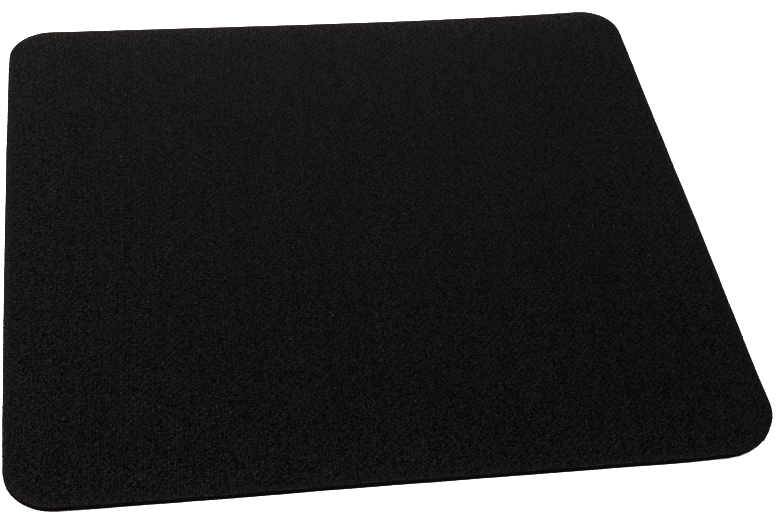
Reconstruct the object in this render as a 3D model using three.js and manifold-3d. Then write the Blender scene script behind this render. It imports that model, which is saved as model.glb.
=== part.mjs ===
// Mouse pad: knitted cloth bonded to a sheet of foam rubber, all die-cut in one stroke to a
// rounded rectangle. Lengths are in millimetres. X runs along the long side, Y runs away from
// the user and Z points up. The origin is the middle of the underside.
import * as THREE from 'three';
import { mergeVertices } from 'three/addons/utils/BufferGeometryUtils.js';
import Module from 'manifold-3d';

const wasm = await Module();
wasm.setup();

// Driving dimensions of the whole pad: the outline that the die cuts through every layer
const padLength = 216;
const padDepth = 203;
const cornerRadius = 15;

// Thickness of each layer, from the table up
const baseThickness = 1.85;
const filmThickness = 0.1;
const clothThickness = 0.45;

// The die presses the cloth down as it cuts, which rounds its upper edge over
const clothEdgeRadius = 0.35;

// One overrun serves every cut, so that no cut ends on a face of what it cuts
const cutOverrun = 2;

// How finely the round stretches are drawn
const cornerSteps = 14;
const edgeSteps = 4;

// Heights at which the layers meet
const baseTop = baseThickness;
const filmTop = baseTop + filmThickness;

// A fillet can be no rounder than the corner that it softens or the sheet that it is cut in
const halfShortSide = Math.min(padLength, padDepth) / 2;
const outlineRadius = Math.min(cornerRadius, halfShortSide);
const edgeRadius = Math.min(clothEdgeRadius, clothThickness, outlineRadius / 2);

// The rounded rectangle, drawn anticlockwise from the front left corner's end
function padOutline() {
  const right = padLength / 2;
  const back = padDepth / 2;
  const r = outlineRadius;
  const outline = new THREE.Shape();
  outline.moveTo(-right + r, -back);
  outline.lineTo(right - r, -back);
  outline.absarc(right - r, -back + r, r, -Math.PI / 2, 0, false);
  outline.lineTo(right, back - r);
  outline.absarc(right - r, back - r, r, 0, Math.PI / 2, false);
  outline.lineTo(-right + r, back);
  outline.absarc(-right + r, back - r, r, Math.PI / 2, Math.PI, false);
  outline.lineTo(-right, -back + r);
  outline.absarc(-right + r, -back + r, r, Math.PI, Math.PI * 1.5, false);
  return outline;
}

// A flat layer of the laminate with square edges, its underside at z = 0
function flatLayer(thickness) {
  return new THREE.ExtrudeGeometry(padOutline(), {
    depth: thickness,
    curveSegments: cornerSteps,
    bevelEnabled: false,
  });
}

// A closed three.js geometry as a solid that can be cut
function toSolid(geometry) {
  const bare = geometry.clone();
  bare.deleteAttribute('normal');
  bare.deleteAttribute('uv');
  const merged = mergeVertices(bare);
  return new wasm.Manifold(new wasm.Mesh({
    numProp: 3,
    vertProperties: new Float32Array(merged.attributes.position.array),
    triVerts: new Uint32Array(merged.index.array),
  }));
}

// A cut solid as a three.js geometry again, with its normals
function toGeometry(solid) {
  const mesh = solid.getMesh();
  const geometry = new THREE.BufferGeometry();
  geometry.setAttribute('position', new THREE.BufferAttribute(mesh.vertProperties, mesh.numProp));
  geometry.setIndex(new THREE.BufferAttribute(mesh.triVerts, 1));
  geometry.computeVertexNormals();
  return geometry;
}

// The cloth: a layer whose upper edge is rounded over. The sheet is drawn with both of its
// edges rounded and too far down, and is then cut off flat at the cloth's own underside.
function clothLayer() {
  const drop = edgeRadius + cutOverrun;
  const rounded = new THREE.ExtrudeGeometry(padOutline(), {
    depth: clothThickness + drop - 2 * edgeRadius,
    curveSegments: cornerSteps,
    bevelEnabled: true,
    bevelThickness: edgeRadius,
    bevelSize: edgeRadius,
    bevelOffset: -edgeRadius,
    bevelSegments: edgeSteps,
  });
  rounded.translate(0, 0, edgeRadius - drop);
  const below = new THREE.BoxGeometry(padLength + 2 * cutOverrun, padDepth + 2 * cutOverrun, 2 * drop);
  below.translate(0, 0, -drop);
  return toGeometry(toSolid(rounded).subtract(toSolid(below)));
}

// One named piece of the laminate, lifted to the height where its underside lies
function makePiece(name, geometry, height, look) {
  const piece = new THREE.Mesh(geometry, new THREE.MeshStandardMaterial(look));
  piece.name = name;
  piece.position.z = height;
  return piece;
}

// Looks: matt black knit, a dark film of glue, and warm black foam rubber
const clothLook = { color: 0x151413, roughness: 0.95, metalness: 0 };
const filmLook = { color: 0x0c0b0a, roughness: 0.45, metalness: 0 };
const rubberLook = { color: 0x0e0d0c, roughness: 0.85, metalness: 0 };

const group = new THREE.Group();
group.add(makePiece('foam_rubber_base', flatLayer(baseThickness), 0, rubberLook));
group.add(makePiece('adhesive_film', flatLayer(filmThickness), baseTop, filmLook));
group.add(makePiece('knitted_cloth_top', clothLayer(), filmTop, clothLook));

export default group;
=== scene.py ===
# %% [markdown]
# # A black cloth mouse pad
#
# The pad is the simplest of desk tools: a sheet of black foam rubber, a film of glue and a knitted
# cloth, cut together by one stroke of a die. There is no mechanism to explain, so this lesson is
# about what makes such a plain thing look real: the pressed edge, the curl of the corners, the
# knit of the cloth, the cut yarn round it, the cut face of the foam and the grip pattern
# underneath.
#
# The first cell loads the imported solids. They are the frame that everything is built around.

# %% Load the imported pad
import math

import bpy
import numpy as np
from mathutils import Matrix, Vector, noise


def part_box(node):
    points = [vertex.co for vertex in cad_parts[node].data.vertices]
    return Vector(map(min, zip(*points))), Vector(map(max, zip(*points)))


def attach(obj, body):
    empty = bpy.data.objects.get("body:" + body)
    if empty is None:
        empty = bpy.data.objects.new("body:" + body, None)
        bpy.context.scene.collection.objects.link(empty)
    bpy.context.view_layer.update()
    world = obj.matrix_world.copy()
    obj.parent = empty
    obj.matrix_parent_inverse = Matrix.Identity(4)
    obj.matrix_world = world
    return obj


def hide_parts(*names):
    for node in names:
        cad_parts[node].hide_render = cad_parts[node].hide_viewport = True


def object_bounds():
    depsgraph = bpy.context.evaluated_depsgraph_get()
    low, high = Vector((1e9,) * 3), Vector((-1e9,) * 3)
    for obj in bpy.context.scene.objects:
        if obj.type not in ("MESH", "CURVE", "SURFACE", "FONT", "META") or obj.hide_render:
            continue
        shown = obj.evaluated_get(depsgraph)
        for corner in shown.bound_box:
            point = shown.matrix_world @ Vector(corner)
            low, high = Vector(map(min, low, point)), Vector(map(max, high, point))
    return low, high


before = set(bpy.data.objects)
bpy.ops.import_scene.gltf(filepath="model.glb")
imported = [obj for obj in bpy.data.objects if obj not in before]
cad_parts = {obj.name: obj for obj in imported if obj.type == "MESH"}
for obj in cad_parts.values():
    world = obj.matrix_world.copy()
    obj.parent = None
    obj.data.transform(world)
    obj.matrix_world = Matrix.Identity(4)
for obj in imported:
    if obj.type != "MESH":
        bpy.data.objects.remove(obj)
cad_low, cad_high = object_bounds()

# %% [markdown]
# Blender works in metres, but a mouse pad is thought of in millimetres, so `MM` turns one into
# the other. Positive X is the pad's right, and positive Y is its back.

MM = 0.001
print("CAD box in mm:", [round(side / MM, 2) for side in cad_high - cad_low])

# %% [markdown]
# ## The camera
#
# A product photographer stands back and uses a fairly long lens, so the far edge comes out only a
# fifth shorter than the near one. The camera's place was worked out from the outline of the pad
# in the picture: its four sides fix the angle, and the way they close in fixes the distance.
# The lens looks at the middle of the frame, so no shift is needed.

# %% Camera
PICTURE_WIDTH_PX = 776
NEAREST_SEEN = 10 * MM
FOCAL_LENGTH_PX = 1609
SENSOR_WIDTH_MM = 36
VIEW_AZIMUTH = math.radians(-13.12)
VIEW_ELEVATION = math.radians(44.95)
VIEW_ROLL = math.radians(6.17)
VIEW_DISTANCE = 497.5 * MM
AIM_POINT = Vector((7.36, -14.47, 0)) * MM


def add_camera():
    back = Vector((
        math.sin(VIEW_AZIMUTH) * math.cos(VIEW_ELEVATION),
        -math.cos(VIEW_AZIMUTH) * math.cos(VIEW_ELEVATION),
        math.sin(VIEW_ELEVATION),
    ))
    right = Vector((math.cos(VIEW_AZIMUTH), math.sin(VIEW_AZIMUTH), 0))
    up = back.cross(right)
    turn = Matrix((right, up, back)).transposed() @ Matrix.Rotation(VIEW_ROLL, 3, "Z")
    camera = bpy.data.objects.new("camera", bpy.data.cameras.new("camera"))
    camera.data.sensor_width = SENSOR_WIDTH_MM
    camera.data.lens = FOCAL_LENGTH_PX / PICTURE_WIDTH_PX * SENSOR_WIDTH_MM
    camera.data.clip_start = NEAREST_SEEN
    camera.matrix_world = Matrix.Translation(AIM_POINT + back * VIEW_DISTANCE) @ turn.to_4x4()
    bpy.context.scene.collection.objects.link(camera)
    bpy.context.scene.camera = camera
    print("lens in mm:", round(camera.data.lens, 1))


add_camera()

# %% [markdown]
# ## Helpers for nodes
#
# Every finish below is procedural: a few textures and a good deal of arithmetic on the place of
# a point on the pad. These helpers keep that arithmetic short. `maths` adds one Math node and
# links or sets its inputs, and gives back its output, so that nodes nest like a formula. They work
# in shader trees and in Geometry Nodes trees alike.

# %% Node helpers
def feed(tree, socket, value):
    if isinstance(value, bpy.types.NodeSocket):
        tree.links.new(value, socket)
    else:
        socket.default_value = value


def maths(tree, operation, *values, clamp=False):
    node = tree.nodes.new("ShaderNodeMath")
    node.operation = operation
    node.use_clamp = clamp
    for socket, value in zip(node.inputs, values):
        feed(tree, socket, value)
    return node.outputs[0]


def add_node(tree, kind, settings=None, **inputs):
    node = tree.nodes.new(kind)
    for name, value in (settings or {}).items():
        setattr(node, name, value)
    for name, value in inputs.items():
        feed(tree, node.inputs[name.replace("_", " ")], value)
    return node


# %% [markdown]
# Three small formulas come back in several finishes: the product of many factors, an even ramp
# from one place to another, and a slow fading away from a place.

# %% Formula helpers
def product(tree, first, *others):
    for other in others:
        first = maths(tree, "MULTIPLY", first, other)
    return first


def ramp(tree, value, start, end):
    """0 up to start, 1 from end onwards, and even in between. The end may be below the start."""
    return maths(tree, "DIVIDE", maths(tree, "SUBTRACT", value, start), end - start, clamp=True)


def fading(tree, distance, length):
    """1 at no distance, and about a third as much with each length further on."""
    return maths(tree, "EXPONENT", maths(tree, "DIVIDE", distance, -length))


# %% [markdown]
# A finish that several materials share is a node group. The next helpers build such a group with
# named inputs and outputs, start a material and place a group in it. The shader itself always
# stays in the material, because the export can't read it inside a group.

# %% Group and material helpers
def new_group(name, inputs, outputs):
    """A shader node group with named float or vector inputs and float outputs."""
    tree = bpy.data.node_groups.new(name, "ShaderNodeTree")
    for label, kind, default in inputs:
        socket = tree.interface.new_socket(name=label, in_out="INPUT", socket_type=kind)
        if default is not None:
            socket.default_value = default
    for label in outputs:
        tree.interface.new_socket(name=label, in_out="OUTPUT", socket_type="NodeSocketFloat")
    entry = tree.nodes.new("NodeGroupInput")
    leave = tree.nodes.new("NodeGroupOutput")
    return tree, entry.outputs, leave.inputs


def new_material(name):
    material = bpy.data.materials.new(name)
    material.use_nodes = True
    tree = material.node_tree
    surface = tree.nodes["Principled BSDF"]
    place = tree.nodes.new("ShaderNodeTexCoord").outputs["Object"]
    return material, tree, surface, place


def use_group(tree, group, **inputs):
    node = tree.nodes.new("ShaderNodeGroup")
    node.node_tree = group
    for name, value in inputs.items():
        feed(tree, node.inputs[name.replace("_", " ")], value)
    return node.outputs


def mix_colours(tree, share, low, high):
    node = tree.nodes.new("ShaderNodeMix")
    node.data_type = "RGBA"
    feed(tree, node.inputs["Factor"], share)
    for socket, colour in ((node.inputs["A"], low), (node.inputs["B"], high)):
        feed(tree, socket, colour if isinstance(colour, bpy.types.NodeSocket) else (*colour, 1.0))
    return node.outputs["Result"]


def set_gloss(surface, roughness, specular):
    """Both are the same all over a piece, so they are plain numbers on the shader."""
    surface.inputs["Roughness"].default_value = roughness
    surface.inputs["Specular IOR Level"].default_value = specular


def add_relief(tree, surface, height, depth, strength):
    bump = add_node(tree, "ShaderNodeBump", Height=height, Distance=depth, Strength=strength)
    tree.links.new(bump.outputs["Normal"], surface.inputs["Normal"])


# %% [markdown]
# ## The floor and the light
#
# The pad was photographed on a plain white table, which came out pure white. The floor is a big
# pale square. It isn't part of the object.

# %% Floor
FLOOR_SIDE = 6.0
FLOOR_WHITE = (0.86, 0.86, 0.86)
FLOOR_ROUGHNESS = 0.9


def add_floor():
    half = FLOOR_SIDE / 2
    mesh = bpy.data.meshes.new("floor")
    corners = [(-half, -half, 0), (half, -half, 0), (half, half, 0), (-half, half, 0)]
    mesh.from_pydata(corners, [], [(0, 1, 2, 3)])
    floor = bpy.data.objects.new("floor", mesh)
    material, _, surface, _ = new_material("white_table")
    surface.inputs["Base Color"].default_value = (*FLOOR_WHITE, 1.0)
    surface.inputs["Roughness"].default_value = FLOOR_ROUGHNESS
    mesh.materials.append(material)
    bpy.context.scene.collection.objects.link(floor)


add_floor()
print("floor side in m:", FLOOR_SIDE)

# %% [markdown]
# The table shows no shadow even under the edge, so the light came from all round. A white room
# gives most of it here, and four large soft lights add the rest. The strip behind the pad and
# the softbox on its left make the far left corner the brightest, a weak softbox on the right
# keeps that side from going flat, and a long panel in front lights up what would be the shadow
# of the front edge. Their powers were worked out by comparing the cloth with the picture, region
# by region. Places and sizes are in metres.

# %% Soft lights
SOFT_LIGHTS = {
    "left_softbox": dict(place=(-0.45, -0.1, 0.35), width=0.4, height=0.3, watts=7.1),
    "right_softbox": dict(place=(0.45, -0.1, 0.35), width=0.4, height=0.3, watts=1.2),
    "back_strip": dict(place=(0.05, 0.95, 0.32), width=1.0, height=0.3, watts=21),
    "front_panel": dict(place=(0.0, -1.6, 0.35), width=2.4, height=0.5, watts=62),
}


def add_soft_light(name, place, width, height, watts):
    light = bpy.data.lights.new(name, "AREA")
    light.shape = "RECTANGLE"
    light.size = width
    light.size_y = height
    light.energy = watts
    lamp = bpy.data.objects.new(name, light)
    lamp.location = place
    lamp.rotation_euler = (-Vector(place)).to_track_quat("-Z", "Y").to_euler()
    bpy.context.scene.collection.objects.link(lamp)


for light_name, light_sizes in SOFT_LIGHTS.items():
    add_soft_light(light_name, **light_sizes)
print("soft lights:", list(SOFT_LIGHTS))

# %% [markdown]
# The room is a plain white world. The picture was also developed with deep blacks. Yarn as dark
# as soot would copy that, but it would look like a hole in any other light. So the yarn keeps
# the black of real dye, and the deep blacks come from the gamma of the view.

# %% Room and view
ROOM_WHITE = 1.18
TONE_GAMMA = 0.6


def add_room():
    world = bpy.data.worlds.new("white_room")
    world.use_nodes = True
    background = world.node_tree.nodes["Background"]
    background.inputs["Color"].default_value = (1, 1, 1, 1)
    background.inputs["Strength"].default_value = ROOM_WHITE
    bpy.context.scene.world = world
    bpy.context.scene.view_settings.view_transform = "Standard"
    bpy.context.scene.view_settings.gamma = TONE_GAMMA


add_room()
print("room white:", ROOM_WHITE, "and gamma of the view:", TONE_GAMMA)

# %% [markdown]
# ## Sizes read from the solids
#
# The looks have to fit the solids, so their sizes are read and not typed again. The length and
# depth come from the box of each node. The corner radius is what is left between the end of the
# straight front edge and the side of the pad.

# %% Sizes from the frame
def layer_heights(node):
    low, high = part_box(node)
    return low.z, high.z


def read_corner_radius(node):
    low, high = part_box(node)
    tolerance = 0.01 * MM
    front = [v.co.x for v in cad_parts[node].data.vertices if v.co.y < low.y + tolerance]
    return high.x - max(front)


pad_length = cad_high.x - cad_low.x
pad_depth = cad_high.y - cad_low.y
corner_radius = read_corner_radius("foam_rubber_base")
base_bottom, base_top = layer_heights("foam_rubber_base")
film_bottom, film_top = layer_heights("adhesive_film")
cloth_bottom, cloth_top = layer_heights("knitted_cloth_top")
print("corner radius in mm:", round(corner_radius / MM, 2))
print("layers in mm:", [round(z / MM, 3) for z in (base_bottom, base_top, film_top, cloth_top)])

# %% [markdown]
# ## How a real pad differs from its drawing
#
# A flat CAD sheet is a little too good. Foam gives way under the die and springs back, so the short
# sides bow out by half a millimetre, the long ones bow in by less, and no two corners come out
# with the same radius. The pad has also been rolled up in its packet, so its corners curl off
# the table, the right ones by a good 2 mm. The table below holds what the picture shows of this,
# corner by corner and side by side, anticlockwise from the front left.

# %% Corners and sides as they came out
CORNERS = [
    dict(name="front_left", side_x=-1, side_y=-1, radius_share=0.90, rise=1.0 * MM, reach=55 * MM),
    dict(name="front_right", side_x=1, side_y=-1, radius_share=1.17, rise=2.2 * MM, reach=41 * MM),
    dict(name="back_right", side_x=1, side_y=1, radius_share=0.88, rise=2.1 * MM, reach=98 * MM),
    dict(name="back_left", side_x=-1, side_y=1, radius_share=0.95, rise=0.0 * MM, reach=93 * MM),
]
SIDE_BOWS = {"front": -0.27 * MM, "right": 0.60 * MM, "back": -0.31 * MM, "left": 0.48 * MM}

for corner in CORNERS:
    print(corner["name"], "corner, rise in mm:", round(corner["rise"] / MM, 1))

# %% [markdown]
# ## One recipe for every sheet
#
# All three layers are the same rounded rectangle, so one recipe makes them. A rounded rectangle
# could be a plain extrusion, but its flat face would then be one big polygon that can't bend.
# Here the face is a grid of four-sided cells instead. The rim is laid out first, as stations
# that each know the point that they turn about, their radius and the way out, so the same stations
# give the outline at any inset. The die's cut also wanders by a few hundredths of a millimetre,
# which keeps the long edges from looking ruled.

# %% Stations round the rim
WANDERS = {"long": (0.10 * MM, 16 * MM, 3.1), "short": (0.05 * MM, 3.2 * MM, 8.4)}


def die_wander(x, y):
    """How far the die's cut strays outwards at a place on the rim."""
    return sum(
        size * noise.noise((x / length, y / length, layer)) for size, length, layer in WANDERS.values()
    )


def rim_stations(step):
    """The stations once round the pad, anticlockwise from the front left corner's middle: centres,
    outward directions and radii, and the number of cells along X and along Y."""
    half = np.array([pad_length, pad_depth]) / 2
    arc_cells = max(3, round(corner_radius * math.pi / 4 / step))
    straights = (pad_length - 2 * corner_radius, pad_depth - 2 * corner_radius)
    cells = [round(straight / step) for straight in straights]
    centres, angles, radii = [], [], []
    for side, bow in enumerate(SIDE_BOWS.values()):
        this, following = CORNERS[side], CORNERS[(side + 1) % 4]
        start_radius = corner_radius * this["radius_share"]
        end_radius = corner_radius * following["radius_share"]
        start = (half - start_radius) * (this["side_x"], this["side_y"])
        end = (half - end_radius) * (following["side_x"], following["side_y"])
        square_out = math.pi / 2 * (side - 1)
        for k in range(arc_cells):
            centres.append(start)
            angles.append(square_out - math.pi / 4 * (1 - k / arc_cells))
            radii.append(start_radius)
        # The bow is a parabola, at its full size halfway along the side
        for k in range(cells[side % 2]):
            share = k / cells[side % 2]
            centres.append(start + (end - start) * share)
            angles.append(square_out)
            radii.append(start_radius + (end_radius - start_radius) * share + bow * 4 * share * (1 - share))
        for k in range(arc_cells):
            centres.append(end)
            angles.append(square_out + math.pi / 4 * k / arc_cells)
            radii.append(end_radius)
    centres = np.array(centres)
    outward = np.stack([np.cos(angles), np.sin(angles)], axis=1)
    at_rim = centres + outward * corner_radius
    radii = np.array(radii) + [die_wander(x, y) for x, y in at_rim]
    return dict(
        centres=centres, outward=outward, radii=radii,
        nx=cells[0] + 2 * arc_cells, ny=cells[1] + 2 * arc_cells,
    )


def rim_ring(stations, inset):
    return stations["centres"] + stations["outward"] * (stations["radii"] - inset)[:, None]


# %% [markdown]
# The grid inside is filled in the way that a patch of cloth is stretched in a frame. Each point
# lies between its places on the left and right sides and between those on the front and back
# sides. Adding the two counts the corners twice, so their share is taken off once.

# %% Filling the face
def fill_face(ring, nx, ny):
    """Points of a grid that is stretched between the four sides of a ring."""
    front = ring[: nx + 1]
    right = ring[nx : nx + ny + 1]
    back = ring[nx + ny : 2 * nx + ny + 1][::-1]
    left = np.concatenate([ring[2 * nx + ny :], ring[:1]])[::-1]
    u = np.linspace(0, 1, nx + 1)[None, :, None]
    v = np.linspace(0, 1, ny + 1)[:, None, None]
    across = (1 - v) * front[None] + v * back[None]
    along = (1 - u) * left[:, None] + u * right[:, None]
    corners = (
        (1 - u) * (1 - v) * front[0] + u * (1 - v) * front[-1]
        + (1 - u) * v * back[0] + u * v * back[-1]
    )
    return (across + along - corners).reshape(-1, 2)


def rim_of_grid(nx, ny):
    """The grid's outer vertex numbers, in the order of the stations."""
    number = np.arange((nx + 1) * (ny + 1)).reshape(ny + 1, nx + 1)
    return np.concatenate([number[0, :-1], number[:-1, -1], number[-1, :0:-1], number[:0:-1, 0]])


# %% [markdown]
# ## The curl
#
# The curl is a function of place, so that all the layers bend together and never part. A bent
# sheet turns its edge face with it, so a point that lies high in the sheet moves back as the
# sheet rises.

# %% Curl
SLOPE_STEP = 0.05 * MM


def curl_height(x, y):
    rise = np.zeros_like(x)
    for corner in CORNERS:
        far_x = x - corner["side_x"] * pad_length / 2
        far_y = y - corner["side_y"] * pad_depth / 2
        rise += corner["rise"] * np.clip(1 - np.hypot(far_x, far_y) / corner["reach"], 0, 1) ** 2
    return rise


def lay_down(points):
    """Bends flat points to the way that the pad lies."""
    x, y, z = points.T
    slope_x = (curl_height(x + SLOPE_STEP, y) - curl_height(x - SLOPE_STEP, y)) / (2 * SLOPE_STEP)
    slope_y = (curl_height(x, y + SLOPE_STEP) - curl_height(x, y - SLOPE_STEP)) / (2 * SLOPE_STEP)
    return np.stack([x - slope_x * z, y - slope_y * z, z + curl_height(x, y)], axis=1)


# %% [markdown]
# ## Building a sheet
#
# A sheet is a grid on top, a few rings down its side and a grid below, all sharing vertices, so
# it is one closed skin. The first helpers turn points and faces into an object, and number the
# faces of a grid and of the band between two rings.

# %% Mesh helpers
def make_object(name, points, faces, edges=()):
    mesh = bpy.data.meshes.new(name)
    mesh.from_pydata(np.asarray(points).tolist(), list(edges), faces)
    mesh.update()
    mesh.shade_smooth()
    piece = bpy.data.objects.new(name, mesh)
    bpy.context.scene.collection.objects.link(piece)
    return piece


def grid_faces(nx, ny, first, facing_up):
    faces = []
    for j in range(ny):
        for i in range(nx):
            a = first + j * (nx + 1) + i
            corners = (a, a + 1, a + nx + 2, a + nx + 1)
            faces.append(corners if facing_up else corners[::-1])
    return faces


def band_faces(upper, lower):
    following = np.roll(np.arange(len(upper)), -1)
    return [(upper[k], lower[k], lower[n], upper[n]) for k, n in enumerate(following)]


def at_height(flat, height):
    return np.column_stack([flat, np.full(len(flat), height)])


# %% [markdown]
# The rings' insets and heights are the edge's profile, given per sheet. The finishes need to know
# how far a point lies from the rim, so every piece carries that distance as well. It is taken
# from the flat points, before they are bent to the curl.

# %% Sheet builder
def keep_rim_distance(piece, flat):
    """Writes each point's distance from the drawing's outline, for the finish to read."""
    half = np.array([pad_length, pad_depth]) / 2 - corner_radius
    past = np.abs(flat[:, :2]) - half
    outside = np.hypot(*np.clip(past, 0, None).T)
    inside = np.clip(past.max(axis=1), None, 0)
    from_rim = corner_radius - outside - inside
    attribute = piece.data.attributes.new("from_rim", "FLOAT", "POINT")
    attribute.data.foreach_set("value", np.clip(from_rim, 0, None).astype(np.float32))


def make_sheet(name, step, profile, top_relief=None):
    """A closed sheet. profile lists (inset, height) pairs from the top face's rim down to the
    underside's rim."""
    stations = rim_stations(step)
    nx, ny = stations["nx"], stations["ny"]
    around = len(stations["radii"])
    count = (nx + 1) * (ny + 1)
    top = at_height(fill_face(rim_ring(stations, profile[0][0]), nx, ny), profile[0][1])
    if top_relief is not None:
        top[:, 2] += top_relief(top[:, 0], top[:, 1])
    bottom = at_height(fill_face(rim_ring(stations, profile[-1][0]), nx, ny), profile[-1][1])
    bands = [at_height(rim_ring(stations, inset), height) for inset, height in profile[1:-1]]
    points = np.concatenate([top, *bands, bottom])
    first_bottom = count + len(bands) * around
    rings = [rim_of_grid(nx, ny)]
    rings += [count + k * around + np.arange(around) for k in range(len(bands))]
    rings.append(first_bottom + rim_of_grid(nx, ny))
    faces = grid_faces(nx, ny, 0, True) + grid_faces(nx, ny, first_bottom, False)
    for upper, lower in zip(rings, rings[1:]):
        faces += band_faces(upper.tolist(), lower.tolist())
    sheet = make_object(name, lay_down(points), faces)
    keep_rim_distance(sheet, points)
    return sheet


# %% [markdown]
# ## The cloth's knit
#
# Black pad cloth is a fine warp knit. Its loops stand in columns, called wales, 0.59 mm apart,
# and in rows, called courses, 0.62 mm apart, and every fourth loop of a course stands proud. The
# proud loops step one column sideways in each row, which draws the faint diagonal that runs up
# to the right. The roll was not quite square when it was glued, so the wales lean by 2.5 degrees
# and the courses bow across the pad.
#
# There are over 120,000 loops, far too many to model, so the knit is a shader group. It puts out
# a height for the bump, how much light comes back from each point, and a mask of the few
# filaments that flash. Its first part works out in which column and row a point lies. A slow
# noise pulls the yarn about a little, because no cloth is glued down without some stretching.

# %% Columns and rows of loops
WALE_PITCH = 0.588 * MM
COURSE_PITCH = 0.617 * MM


def count_loops(tree, given):
    """How many wales across and how many courses along a place lies, as numbers with fractions."""
    drift_scale = maths(tree, "DIVIDE", 1.0, given["Drift Length"])
    drift = add_node(tree, "ShaderNodeTexNoise", Vector=given["Place"], Scale=drift_scale, Detail=2.0)
    pull = add_node(tree, "ShaderNodeSeparateColor", Color=drift.outputs["Color"]).outputs
    place = add_node(tree, "ShaderNodeSeparateXYZ", Vector=given["Place"]).outputs
    lean = product(tree, place["Y"], given["Wale Lean"])
    bow = product(tree, place["X"], place["X"], given["Course Bow"])
    directions = (("X", lean, "Red", "Wale Pitch"), ("Y", bow, "Green", "Course Pitch"))
    counts = []
    for axis, bend, channel, pitch in directions:
        straightened = maths(tree, "SUBTRACT", place[axis], bend)
        pulled = product(tree, maths(tree, "SUBTRACT", pull[channel], 0.5), given["Yarn Drift"])
        counts.append(maths(tree, "DIVIDE", maths(tree, "ADD", straightened, pulled), given[pitch]))
    return counts


print("loops on the pad:", round(pad_length / WALE_PITCH) * round(pad_depth / COURSE_PITCH))

# %% [markdown]
# The second part draws one loop in its cell, as it is seen from above. Its two legs part as they
# rise, so they make a V that is open at the top, and they arch out of the cloth halfway up and
# go under at both ends.

# %% Shape of a loop
LEG_START = 0.10
LEG_PARTING = 0.125
ARCH_GAIN = 1.05


def draw_loop(tree, given, in_column, in_row):
    from_middle = maths(tree, "ABSOLUTE", maths(tree, "SUBTRACT", in_column, 0.5))
    leg_place = maths(tree, "MULTIPLY_ADD", in_row, LEG_PARTING, LEG_START)
    off_leg = maths(tree, "DIVIDE", maths(tree, "SUBTRACT", from_middle, leg_place), given["Leg Width"])
    leg = maths(tree, "SUBTRACT", 1.0, product(tree, off_leg, off_leg), clamp=True)
    arch = maths(tree, "SINE", product(tree, in_row, math.pi))
    loop = product(tree, leg, maths(tree, "MULTIPLY_ADD", arch, ARCH_GAIN, 1 - ARCH_GAIN))
    return leg, loop


# %% [markdown]
# The third part is what makes it look like cloth: no two loops take the light alike. Each strand
# is turned its own way, so some face the light and some lie in shade. Each wale is knitted a
# little tighter or looser than the next. Proud loops catch more light, and a few loops have sunk
# between their neighbours and stay dark. The light levels off on the brightest strands, so that
# it nears a limit and never passes it.

# %% Light of a loop
LOOP_GAIN = 3.74
STRAND_CONTRAST = 2.6
WALE_STREAK = 0.3
LEVEL_LIT = 0.83
PROUD_LIT = 0.57


def chance_in(tree, x, y):
    """A chance between 0 and 1 that is the same all over a cell."""
    cell = add_node(tree, "ShaderNodeCombineXYZ", X=x, Y=y).outputs["Vector"]
    dice = add_node(tree, "ShaderNodeTexWhiteNoise", {"noise_dimensions": "2D"}, Vector=cell)
    return dice.outputs["Value"]


def light_loop(tree, given, loop, strand, wale, proud, chance):
    facing = maths(
        tree, "MULTIPLY_ADD", strand, STRAND_CONTRAST, 0.5 - STRAND_CONTRAST / 2, clamp=True,
    )
    streaked = maths(tree, "MULTIPLY_ADD", wale, WALE_STREAK, 1 - WALE_STREAK / 2)
    stepped = maths(tree, "MULTIPLY_ADD", proud, PROUD_LIT, LEVEL_LIT)
    risen = maths(tree, "GREATER_THAN", chance, given["Sunk Share"])
    risen = maths(tree, "MAXIMUM", risen, given["Sunk Lit"])
    bare = product(tree, loop, LOOP_GAIN, facing, streaked, stepped, risen)
    held_back = maths(tree, "DIVIDE", product(tree, bare, -1.0), given["Most Lit"])
    held_back = maths(tree, "EXPONENT", held_back)
    return product(tree, maths(tree, "SUBTRACT", 1.0, held_back), given["Most Lit"])


# %% [markdown]
# The group puts the three parts together. One loop in four hundred has a filament that lies just
# so and flashes, painted as a glint of light grey in the colour.

# %% Knit group
LEAST_RISE = 0.4
LOOP_RISE = 0.5
PROUD_RISE = 0.3
FLASH_SHARE = 1 / 400


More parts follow.
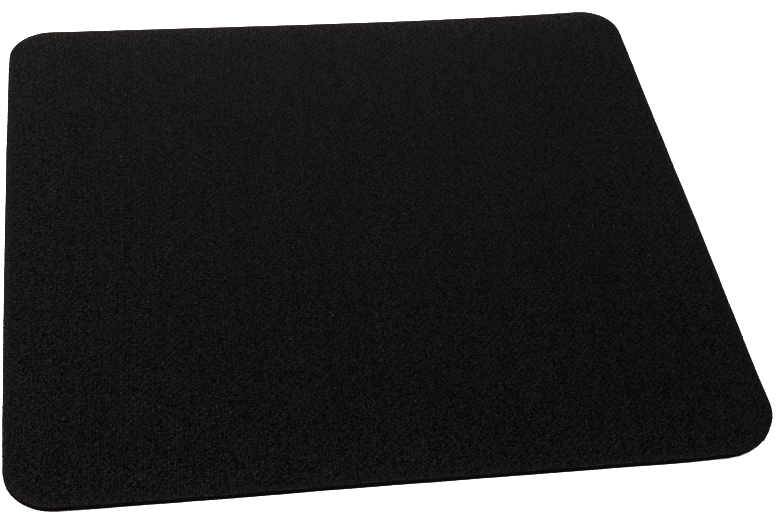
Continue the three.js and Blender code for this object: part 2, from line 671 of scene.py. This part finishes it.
def build_knit():
    tree, given, out = new_group(
        "knit_loops",
        [
            ("Place", "NodeSocketVector", None),
            ("Wale Pitch", "NodeSocketFloat", WALE_PITCH),
            ("Course Pitch", "NodeSocketFloat", COURSE_PITCH),
            ("Wale Lean", "NodeSocketFloat", 0.044),
            ("Course Bow", "NodeSocketFloat", 0.29),
            ("Yarn Drift", "NodeSocketFloat", 0.30 * MM),
            ("Drift Length", "NodeSocketFloat", 2.2 * MM),
            ("Proud Every", "NodeSocketFloat", 4.0),
            ("Leg Width", "NodeSocketFloat", 0.235),
            ("Sunk Share", "NodeSocketFloat", 0.03),
            ("Sunk Lit", "NodeSocketFloat", 0.03),
            ("Most Lit", "NodeSocketFloat", 3.0),
        ],
        ["Height", "Lit", "Glint"],
    )
    across, along = count_loops(tree, given)
    column = maths(tree, "FLOOR", across)
    row = maths(tree, "FLOOR", along)
    in_column = maths(tree, "SUBTRACT", across, column)
    in_row = maths(tree, "SUBTRACT", along, row)
    leg, loop = draw_loop(tree, given, in_column, in_row)

    # The proud loop is one column further on in each row
    step = maths(tree, "FLOORED_MODULO", maths(tree, "SUBTRACT", column, row), given["Proud Every"])
    proud = maths(tree, "LESS_THAN", step, 0.5)

    # A strand is a quarter of a loop: half of one leg
    chance = chance_in(tree, column, row)
    halves = [maths(tree, "FLOOR", product(tree, side, 2.0)) for side in (across, along)]
    strand = chance_in(tree, *halves)
    wale_dice = add_node(tree, "ShaderNodeTexWhiteNoise", {"noise_dimensions": "1D"}, W=column)
    wale = wale_dice.outputs["Value"]

    risen = maths(tree, "MULTIPLY_ADD", chance, LOOP_RISE, LEAST_RISE)
    risen = maths(tree, "MULTIPLY_ADD", proud, PROUD_RISE, risen)
    tree.links.new(product(tree, loop, risen), out["Height"])
    tree.links.new(light_loop(tree, given, loop, strand, wale, proud, chance), out["Lit"])
    # A painted glint on one loop in four hundred
    flash = ramp(tree, chance, 1 - FLASH_SHARE, 1.0)
    tree.links.new(product(tree, flash, leg), out["Glint"])
    return tree


knit = build_knit()
print("knit nodes:", len(knit.nodes))

# %% [markdown]
# Nothing dyed black is evenly black. Slow changes of tone come from the dye bath, the glue and
# handling. This second group is shared by the cloth, the foam and the glue, each with its own
# scale: it puts out a value close to 1 that the finish multiplies its colour with.

# %% Mottle group
def build_mottle():
    tree, given, out = new_group(
        "slow_mottle",
        [
            ("Place", "NodeSocketVector", None),
            ("Size", "NodeSocketFloat", 20 * MM),
            ("Amount", "NodeSocketFloat", 0.1),
        ],
        ["Tone"],
    )
    scale = maths(tree, "DIVIDE", 1.0, given["Size"])
    cloud = add_node(tree, "ShaderNodeTexNoise", Vector=given["Place"], Scale=scale, Detail=3.0)
    centred = maths(tree, "MULTIPLY_ADD", cloud.outputs["Fac"], 2.0, -1.0)
    tree.links.new(maths(tree, "MULTIPLY_ADD", centred, given["Amount"], 1.0), out["Tone"])
    return tree


mottle = build_mottle()
print("mottle nodes:", len(mottle.nodes))

# %% [markdown]
# ## Painted sheen at the rim
#
# The rim of the cloth is painted brighter and warmer than its face, as painted sheen and glow.
# The die flattened the outermost millimetre or so, and that band gets the strongest painted sheen
# with a warm tint. A wider band gets a fainter painted glow, and the back edge gets a painted
# shine that is warmer still, where the cloth catches the light from behind. Flattened loops have
# also lost their shape, so the light of the loops is evened out there. The shine at the back
# follows the pad's depth. The rest follows the distance from the rim, which every sheet carries
# as an attribute, so these bands run round the corners as well.

# %% Painted sheen at the rim
# Painted sheen on the lip, a fainter painted glow on a wider band and a painted shine at the back edge
LIP_SHEEN_START = 1.6 * MM
LIP_SHEEN_FULL = 0.4 * MM
LIP_SHEEN_GAIN = 0.62
LIP_SHEEN_WARMTH = 0.6
RIM_GLOW_WIDTH = 12 * MM
RIM_GLOW_GAIN = 0.4
RIM_GLOW_WARMTH = 0.4
BACK_SHINE_WIDTH = 3 * MM
BACK_SHINE_GAIN = 1.6
CALM_WIDTH = 2.2 * MM
CALM_SHARE = 0.7


def read_rim_distance(tree):
    rim = tree.nodes.new("ShaderNodeAttribute")
    rim.attribute_name = "from_rim"
    return rim.outputs["Fac"]


def paint_rim_sheen(tree, place):
    """The painted rim sheen, its warm tint, the painted back shine and how evened out the loops are."""
    from_rim = read_rim_distance(tree)
    lip_sheen = ramp(tree, from_rim, LIP_SHEEN_START, LIP_SHEEN_FULL)
    rim_glow = fading(tree, from_rim, RIM_GLOW_WIDTH)
    depth_place = add_node(tree, "ShaderNodeSeparateXYZ", Vector=place).outputs["Y"]
    back_shine = fading(tree, maths(tree, "SUBTRACT", pad_depth / 2, depth_place), BACK_SHINE_WIDTH)
    # Painted sheen and glow that make the rim brighter, and the painted shine at the back
    painted_rim_light = maths(tree, "MULTIPLY_ADD", rim_glow, RIM_GLOW_GAIN, 1.0)
    painted_rim_light = maths(tree, "MULTIPLY_ADD", lip_sheen, LIP_SHEEN_GAIN, painted_rim_light)
    painted_rim_light = maths(tree, "MULTIPLY_ADD", back_shine, BACK_SHINE_GAIN, painted_rim_light)
    # The warm tint of the painted sheen and glow
    sheen_warmth = maths(tree, "MULTIPLY_ADD", lip_sheen, LIP_SHEEN_WARMTH, product(tree, rim_glow, RIM_GLOW_WARMTH))
    calm = product(tree, fading(tree, from_rim, CALM_WIDTH), CALM_SHARE)
    return painted_rim_light, sheen_warmth, back_shine, calm


# %% [markdown]
# ## The cloth's finish
#
# The yarn is polyester dyed black. The dye hardly varies, and what the eye reads as cloth is the
# light that each bit of a loop sends back, so the knit's light scales the yarn's colour. Gloss
# could be given to single filaments, but the hollows between the loops swallow most of it, so it
# is low, rough and the same all over. A sharper gloss would turn the pad grey in a low view.

# %% Cloth material
YARN_BLACK = 0.0125
YARN_TINT = (1.02, 0.985, 0.995)
# Warm tints of the painted sheen at the rim and of the painted shine at the back
WARM_SHEEN_TINT = (1.12, 0.99, 0.89)
BACK_SHINE_TINT = (1.35, 0.93, 0.80)
UNLIT = (0.0, 0.0, 0.0)
FULL_LIT = 5.0
MEAN_LIT = 0.48
# The light grey of a painted glint
GLINT_GREY = 0.045
KNIT_RELIEF = 0.02 * MM


def fully_lit(tint):
    """The yarn's colour where the light on it is full."""
    return [YARN_BLACK * FULL_LIT * part for part in tint]


def cloth_finish():
    material, tree, surface, place = new_material("knitted_polyester")
    loops = use_group(tree, knit, Place=place)
    clouds = use_group(tree, mottle, Place=place, Size=24 * MM, Amount=0.10)
    painted_rim_light, sheen_warmth, back_shine, calm = paint_rim_sheen(tree, place)
    towards_mean = product(tree, maths(tree, "SUBTRACT", MEAN_LIT, loops["Lit"]), calm)
    lit = maths(tree, "ADD", loops["Lit"], towards_mean)
    share = maths(tree, "DIVIDE", product(tree, lit, clouds["Tone"], painted_rim_light), FULL_LIT)
    # The painted rim sheen and the painted back shine tint the yarn's colour here
    rim_colour = mix_colours(tree, sheen_warmth, fully_lit(YARN_TINT), fully_lit(WARM_SHEEN_TINT))
    full_colour = mix_colours(tree, back_shine, rim_colour, fully_lit(BACK_SHINE_TINT))
    yarn = mix_colours(tree, share, UNLIT, full_colour)
    # Painted glints on a few filaments
    glinted = mix_colours(tree, loops["Glint"], yarn, (GLINT_GREY,) * 3)
    tree.links.new(glinted, surface.inputs["Base Color"])
    add_relief(tree, surface, loops["Height"], depth=KNIT_RELIEF, strength=0.8)
    set_gloss(surface, roughness=0.65, specular=0.028)
    return material


cloth_material = cloth_finish()
print("cloth nodes:", len(cloth_material.node_tree.nodes))

# %% [markdown]
# ## The cloth
#
# The die presses the cloth down before it cuts through, so the upper edge is rounded over a
# width of nearly a millimetre. The profile is a quarter of an ellipse. The face has a hardly
# visible unevenness, as foam is never quite equally thick.

# %% Cloth mesh
LIP_WIDTH = 0.85 * MM
LIP_DROP = 0.33 * MM
LIP_RINGS = 6
FACE_INSETS = (2.2 * MM, 1.3 * MM)
CLOTH_STEP = 1.4 * MM
UNEVEN = 0.025 * MM
UNEVEN_LENGTH = 11 * MM
UNEVEN_LAYER = 0.5
UNEVEN_DIP = 0.5


def rounded_lip(top, bottom):
    """An edge profile that leaves the top face level and arrives at the side upright."""
    quarter = [math.pi / 2 * k / LIP_RINGS for k in range(LIP_RINGS + 1)]
    profile = [(inset, top) for inset in FACE_INSETS]
    profile += [(LIP_WIDTH * (1 - math.sin(a)), top - LIP_DROP * (1 - math.cos(a))) for a in quarter]
    return profile + [(0.0, bottom)]


def uneven_face(x, y):
    """Slow changes of height, nearly all of them dips."""
    places = [(px / UNEVEN_LENGTH, py / UNEVEN_LENGTH, UNEVEN_LAYER) for px, py in zip(x, y)]
    return np.array([UNEVEN * (noise.noise(place) - UNEVEN_DIP) for place in places])


cloth = make_sheet("knitted_cloth", CLOTH_STEP, rounded_lip(cloth_top, cloth_bottom), uneven_face)
cloth.data.materials.append(cloth_material)
print("cloth faces:", len(cloth.data.polygons))

# %% [markdown]
# ## Growing small repeats
#
# The cut yarn round the edge and the pips underneath are the same small shape thousands of times,
# which is work for Geometry Nodes. Each tree below has named inputs for its sizes. `grow` runs a
# tree on a starting mesh, turns the result into a plain mesh and takes the modifier off, so the
# piece that is left can be bent with the pad like any other.

# %% Helpers for growing
def new_grower(name, inputs):
    """A Geometry Nodes tree with a geometry input, named number inputs and a geometry output."""
    tree = bpy.data.node_groups.new(name, "GeometryNodeTree")
    tree.interface.new_socket(name="Geometry", in_out="INPUT", socket_type="NodeSocketGeometry")
    for label, kind, default in inputs:
        tree.interface.new_socket(name=label, in_out="INPUT", socket_type=kind).default_value = default
    tree.interface.new_socket(name="Geometry", in_out="OUTPUT", socket_type="NodeSocketGeometry")
    entry = tree.nodes.new("NodeGroupInput")
    leave = tree.nodes.new("NodeGroupOutput")
    return tree, entry.outputs, leave.inputs["Geometry"]


def finish_grower(tree, geometry, material, leave):
    real = add_node(tree, "GeometryNodeRealizeInstances", Geometry=geometry).outputs["Geometry"]
    painted = add_node(tree, "GeometryNodeSetMaterial", Geometry=real, Material=material)
    tree.links.new(painted.outputs["Geometry"], leave)


def grow(start, tree, **sizes):
    modifier = start.modifiers.new(tree.name, "NODES")
    modifier.node_group = tree
    sockets = {item.name: item.identifier for item in tree.interface.items_tree if item.in_out == "INPUT"}
    for label, value in sizes.items():
        modifier[sockets[label.replace("_", " ")]] = value
    evaluated = start.evaluated_get(bpy.context.evaluated_depsgraph_get())
    grown = bpy.data.meshes.new_from_object(evaluated)
    start.modifiers.clear()
    start.data = grown
    places = np.empty(len(grown.vertices) * 3, dtype=np.float32)
    grown.vertices.foreach_get("co", places)
    flat = places.reshape(-1, 3).astype(float)
    keep_rim_distance(start, flat)
    bent = lay_down(flat)
    grown.vertices.foreach_set("co", bent.ravel().astype(np.float32))
    grown.update()
    triangles = sum(len(face.vertices) - 2 for face in grown.polygons)
    print(start.name, "triangles:", triangles)
    return start


# %% [markdown]
# ## The cut yarn
#
# The die cuts through every loop that it meets, and each leaves two ends of yarn looking out of
# the edge, one above the other. Seen along the table they make the edge faintly toothed. They
# could be a bump in the finish, but then the outline would stay as smooth as a knife's, so each
# end is a small stub: a six-sided frustum that leans its own way. The tree lays points along the
# rim, turns a stub outwards at each and lets every second one sit lower.

# %% Cut yarn tree
END_TAPER = 0.7
LEAST_END = 0.7
END_SPREAD = 0.6
UPRIGHT = (0.0, 0.0, 1.0)


def build_cut_yarn(material):
    tree, given, leave = new_grower(
        "cut_yarn",
        [
            ("End Pitch", "NodeSocketFloat", 0.3 * MM),
            ("End Length", "NodeSocketFloat", 0.14 * MM),
            ("End Radius", "NodeSocketFloat", 0.07 * MM),
            ("Row Gap", "NodeSocketFloat", 0.12 * MM),
            ("Lean", "NodeSocketFloat", 0.5),
            ("Seed", "NodeSocketInt", 7),
        ],
    )
    curve = add_node(tree, "GeometryNodeMeshToCurve", Mesh=given["Geometry"]).outputs["Curve"]
    spaced = add_node(
        tree, "GeometryNodeCurveToPoints", {"mode": "LENGTH"}, Curve=curve, Length=given["End Pitch"],
    )
    out_way = add_node(tree, "ShaderNodeVectorMath", {"operation": "CROSS_PRODUCT"})
    feed(tree, out_way.inputs[0], spaced.outputs["Tangent"])
    feed(tree, out_way.inputs[1], UPRIGHT)
    facing = add_node(
        tree, "FunctionNodeAlignRotationToVector", {"axis": "Z"}, Vector=out_way.outputs["Vector"],
    )
    tilt = add_node(tree, "FunctionNodeRandomValue", {"data_type": "FLOAT_VECTOR"}, Seed=given["Seed"])
    other_way = product(tree, given["Lean"], -1.0)
    for socket, size in ((tilt.inputs["Min"], other_way), (tilt.inputs["Max"], given["Lean"])):
        packed = add_node(tree, "ShaderNodeCombineXYZ", X=size, Y=size, Z=size).outputs["Vector"]
        tree.links.new(packed, socket)
    leaning = add_node(
        tree, "FunctionNodeRotateRotation", {"rotation_space": "LOCAL"},
        Rotation=facing.outputs["Rotation"], Rotate_By=tilt.outputs["Value"],
    )
    growth = add_node(tree, "FunctionNodeRandomValue", {"data_type": "FLOAT"}, Seed=given["Seed"])
    index = tree.nodes.new("GeometryNodeInputIndex").outputs["Index"]
    every_second = maths(tree, "FLOORED_MODULO", index, 2.0)
    lower = product(tree, every_second, given["Row Gap"], -1.0)
    drop = add_node(tree, "ShaderNodeCombineXYZ", Z=lower).outputs["Vector"]
    points = add_node(tree, "GeometryNodeSetPosition", Geometry=spaced.outputs["Points"], Offset=drop)
    stub = add_node(
        tree, "GeometryNodeMeshCone", {"fill_type": "TRIANGLE_FAN"}, Vertices=6,
        Radius_Top=product(tree, given["End Radius"], END_TAPER),
        Radius_Bottom=given["End Radius"], Depth=given["End Length"],
    )
    spread = maths(tree, "MULTIPLY_ADD", growth.outputs[1], END_SPREAD, LEAST_END)
    placed = add_node(
        tree, "GeometryNodeInstanceOnPoints", Points=points.outputs["Geometry"],
        Instance=stub.outputs["Mesh"], Rotation=leaning.outputs["Rotation"], Scale=spread,
    )
    finish_grower(tree, placed.outputs["Instances"], material, leave)
    return tree


# %% [markdown]
# The stubs grow on a line just inside the rim and a little above the glue. The line is flat, and
# `grow` bends the finished stubs with the pad, so they stay on the edge at the curled corners.

# %% Cut yarn mesh
YARN_START_INSET = 0.08 * MM
YARN_START_RISE = 0.14 * MM


def start_line(name, inset, height):
    """The pad's outline as a closed line, to grow things along."""
    ring = at_height(rim_ring(rim_stations(CLOTH_STEP), inset), height)
    edges = [(k, (k + 1) % len(ring)) for k in range(len(ring))]
    return make_object(name, ring, [], edges)


cut_yarn = grow(
    start_line("cut_yarn_ends", YARN_START_INSET, cloth_bottom + YARN_START_RISE),
    build_cut_yarn(cloth_material),
)

# %% [markdown]
# ## The glue
#
# The film of glue is a tenth of a millimetre thick, and only its cut edge shows, as a thin dark
# line between the cloth and the foam. It is slightly glossy, because it melted and set again.

# %% Glue film
FILM_INSET = 0.05 * MM
FILM_STEP = 2.8 * MM
GLUE_DARKEST = (0.001, 0.001, 0.001)
GLUE_LIGHTEST = (0.004, 0.0037, 0.0033)
GLUE_MIDDLE = 0.5


def glue_finish():
    material, tree, surface, place = new_material("hot_melt_glue")
    clouds = use_group(tree, mottle, Place=place, Size=2 * MM, Amount=0.4)
    colour = mix_colours(tree, product(tree, clouds["Tone"], GLUE_MIDDLE), GLUE_DARKEST, GLUE_LIGHTEST)
    tree.links.new(colour, surface.inputs["Base Color"])
    set_gloss(surface, roughness=0.45, specular=0.05)
    return material


film = make_sheet(
    "adhesive_film_line", FILM_STEP,
    [
        (FACE_INSETS[0], film_top), (FILM_INSET, film_top),
        (FILM_INSET, film_bottom), (FACE_INSETS[0], film_bottom),
    ],
)
film.data.materials.append(glue_finish())
print("glue faces:", len(film.data.polygons))

# %% [markdown]
# ## The foam rubber
#
# The base gives the pad its body. A knife squeezes foam before it cuts, so the cut face springs
# back slightly hollow, and it shows the burst pores of the foam, painted darker towards their
# hollow middles as painted shade in the pits. The whole cut face is painted darker as well, to
# offset the strong front panel that lights it. The underside is another surface: it set against
# the mould with a closed skin, which is painted lighter than the cut face to make up for the dim
# light below. The pips are painted lighter still, as a painted highlight that sets them off from
# the skin between them. One recipe makes all three, and the distance from the rim says where the
# cut face ends and the skin starts.

# %% Foam material
# The cut face's colours are painted darker to offset the strong front panel that lights it
CUT_DARKEST = (0.0011, 0.0008, 0.0006)
CUT_LIGHTEST = (0.0061, 0.0048, 0.0038)
# The skin's grey is painted lighter to make up for the dim light below
LIGHTENED_SKIN_GREY = (0.0105, 0.010, 0.0095)
# The pips' grey is a painted highlight, lighter than the skin around them
PIP_HIGHLIGHT_GREY = (0.026, 0.025, 0.024)
SKIN_START = 0.4 * MM
SKIN_FULL = 0.7 * MM
PORE_SIZE = 0.28 * MM
PORE_EDGE = 0.6
PORE_SOFTNESS = 0.2
DEEPEST_PORE_LIGHT = 0.2
GRAIN_SIZE = 0.12 * MM
GRAIN_SHARE = 0.4
FOAM_RELIEF = 0.06 * MM


def foam_finish(name, underside_grey):
    material, tree, surface, place = new_material(name)
    pores = add_node(tree, "ShaderNodeTexVoronoi", Vector=place, Scale=1 / PORE_SIZE)
    grain = add_node(tree, "ShaderNodeTexNoise", Vector=place, Scale=1 / GRAIN_SIZE, Detail=3.0)
    clouds = use_group(tree, mottle, Place=place, Size=9 * MM, Amount=0.15)
    # Painted shade in the pores: the cut face is darker towards the hollow middle of each pore
    open_pore = maths(tree, "SMOOTH_MIN", pores.outputs["Distance"], PORE_EDGE, PORE_SOFTNESS)
    pore_shade = product(tree, maths(tree, "ADD", open_pore, DEEPEST_PORE_LIGHT), clouds["Tone"])
    cut_face = mix_colours(tree, pore_shade, CUT_DARKEST, CUT_LIGHTEST)
    skin = mix_colours(tree, clouds["Tone"], UNLIT, underside_grey)
    skinned = ramp(tree, read_rim_distance(tree), SKIN_START, SKIN_FULL)
    tree.links.new(mix_colours(tree, skinned, cut_face, skin), surface.inputs["Base Color"])
    height = maths(tree, "MULTIPLY_ADD", grain.outputs["Fac"], GRAIN_SHARE, open_pore)
    add_relief(tree, surface, height, depth=FOAM_RELIEF, strength=0.7)
    set_gloss(surface, roughness=0.85, specular=0.02)
    return material


# %% [markdown]
# The foam's sheet ends above the table, by the height of the pips that will stand under it. Its
# side is a few rings whose inset follows half a wave, which gives the hollow.

# %% Foam sheet
GRIP_HEIGHT = 0.15 * MM
FOAM_HOLLOW = 0.12 * MM
FOAM_RINGS = 6
FOAM_STEP = 2.8 * MM


def foam_profile(top, bottom):
    side = []
    for k in range(FOAM_RINGS + 1):
        share = k / FOAM_RINGS
        side.append((FOAM_HOLLOW * math.sin(math.pi * share), top + (bottom - top) * share))
    return [(FACE_INSETS[0], top), *side, (FACE_INSETS[0], bottom)]


foam_sheet = make_sheet("foam_sheet", FOAM_STEP, foam_profile(base_top, base_bottom + GRIP_HEIGHT))
foam_sheet.data.materials.append(foam_finish("black_foam_rubber", LIGHTENED_SKIN_GREY))
print("foam faces:", len(foam_sheet.data.polygons))

# %% [markdown]
# ## The grip pattern
#
# The underside of such a pad is moulded with rows of low pips, so that air and dust can get out of
# the way and the soft rubber holds on to the table. The picture doesn't show it, so a plain
# pattern of its kind is made: six-sided pips in staggered rows. The first helper finds the points
# that lie outside the rounded rectangle. It looks at one quarter of it, as the four are alike.

# %% Points past the outline
def past_outline(tree, given, spot):
    """1 where a point lies outside the pad or too near its rim for a pip, and otherwise 0."""
    beyond = []
    for axis, side in (("X", given["Length"]), ("Y", given["Depth"])):
        straight = maths(tree, "SUBTRACT", product(tree, side, 0.5), given["Corner Radius"])
        past = maths(tree, "SUBTRACT", maths(tree, "ABSOLUTE", spot[axis]), straight)
        beyond.append(maths(tree, "MAXIMUM", past, 0.0))
    squares = [product(tree, side, side) for side in beyond]
    reach = maths(tree, "SQRT", maths(tree, "ADD", *squares))
    limit = maths(tree, "SUBTRACT", given["Corner Radius"], given["Margin"])
    return maths(tree, "GREATER_THAN", reach, limit)


# %% [markdown]
# The tree lays a grid over the whole pad, pushes every second row half a step sideways, deletes
# the points past the outline and puts a pip on each that is left.

# %% Grip tree
PIP_TAPER = 0.75


def build_grip(material):
    tree, given, leave = new_grower(
        "grip_pips",
        [
            ("Length", "NodeSocketFloat", 200 * MM),
            ("Depth", "NodeSocketFloat", 200 * MM),
            ("Corner Radius", "NodeSocketFloat", 15 * MM),
            ("Margin", "NodeSocketFloat", 1.6 * MM),
            ("Pip Pitch", "NodeSocketFloat", 3.0 * MM),
            ("Pip Radius", "NodeSocketFloat", 1.0 * MM),
            ("Pip Height", "NodeSocketFloat", 0.18 * MM),
        ],
    )
    row_pitch = product(tree, given["Pip Pitch"], math.sqrt(3) / 2)
    columns = maths(tree, "FLOOR", maths(tree, "DIVIDE", given["Length"], given["Pip Pitch"]))
    rows = maths(tree, "FLOOR", maths(tree, "DIVIDE", given["Depth"], row_pitch))
    grid = add_node(
        tree, "GeometryNodeMeshGrid",
        Size_X=product(tree, columns, given["Pip Pitch"]), Size_Y=product(tree, rows, row_pitch),
        Vertices_X=maths(tree, "ADD", columns, 1.0), Vertices_Y=maths(tree, "ADD", rows, 1.0),
    )
    place = tree.nodes.new("GeometryNodeInputPosition").outputs["Position"]
    spot = add_node(tree, "ShaderNodeSeparateXYZ", Vector=place).outputs
    start_y = product(tree, rows, row_pitch, 0.5)
    row = maths(tree, "ROUND", maths(tree, "DIVIDE", maths(tree, "ADD", spot["Y"], start_y), row_pitch))
    sideways = product(tree, maths(tree, "FLOORED_MODULO", row, 2.0), 0.5, given["Pip Pitch"])
    shift = add_node(tree, "ShaderNodeCombineXYZ", X=sideways)
    staggered = add_node(
        tree, "GeometryNodeSetPosition", Geometry=grid.outputs["Mesh"], Offset=shift.outputs["Vector"],
    )
    kept = add_node(
        tree, "GeometryNodeDeleteGeometry", {"domain": "POINT"},
        Geometry=staggered.outputs["Geometry"], Selection=past_outline(tree, given, spot),
    )
    pip = add_node(
        tree, "GeometryNodeMeshCone", {"fill_type": "TRIANGLE_FAN"}, Vertices=6,
        Radius_Top=product(tree, given["Pip Radius"], PIP_TAPER),
        Radius_Bottom=given["Pip Radius"], Depth=given["Pip Height"],
    )
    placed = add_node(
        tree, "GeometryNodeInstanceOnPoints", Points=kept.outputs["Geometry"],
        Instance=pip.outputs["Mesh"], Rotation=(math.pi, 0.0, 0.0),
    )
    lifted = add_node(
        tree, "GeometryNodeSetPosition", Geometry=placed.outputs["Instances"],
        Offset=add_node(tree, "ShaderNodeCombineXYZ", Z=given["Pip Height"]).outputs["Vector"],
    )
    finish_grower(tree, lifted.outputs["Geometry"], material, leave)
    return tree


# %% [markdown]
# The tree lays its own grid, so a single point is enough to start from. The pad's length, depth
# and corner radius are handed in as they were read from the solids.

# %% Grip mesh
grip = grow(
    make_object("grip_pips", [(0.0, 0.0, 0.0)], []),
    # The pips get a lighter copy of the foam's finish, as a painted highlight
    build_grip(foam_finish("foam_pips_painted_light", PIP_HIGHLIGHT_GREY)),
    Length=pad_length, Depth=pad_depth, Corner_Radius=corner_radius,
)

# %% [markdown]
# ## Riding and replacing
#
# Each piece rides on the pad's one body and stands in for its CAD node, which is hidden.

# %% Attach each piece and hide its CAD node
def settle(piece, node):
    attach(piece, "root")
    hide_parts(node)


settle(cloth, "knitted_cloth_top")
settle(cut_yarn, "knitted_cloth_top")
settle(film, "adhesive_film")
settle(foam_sheet, "foam_rubber_base")
settle(grip, "foam_rubber_base")
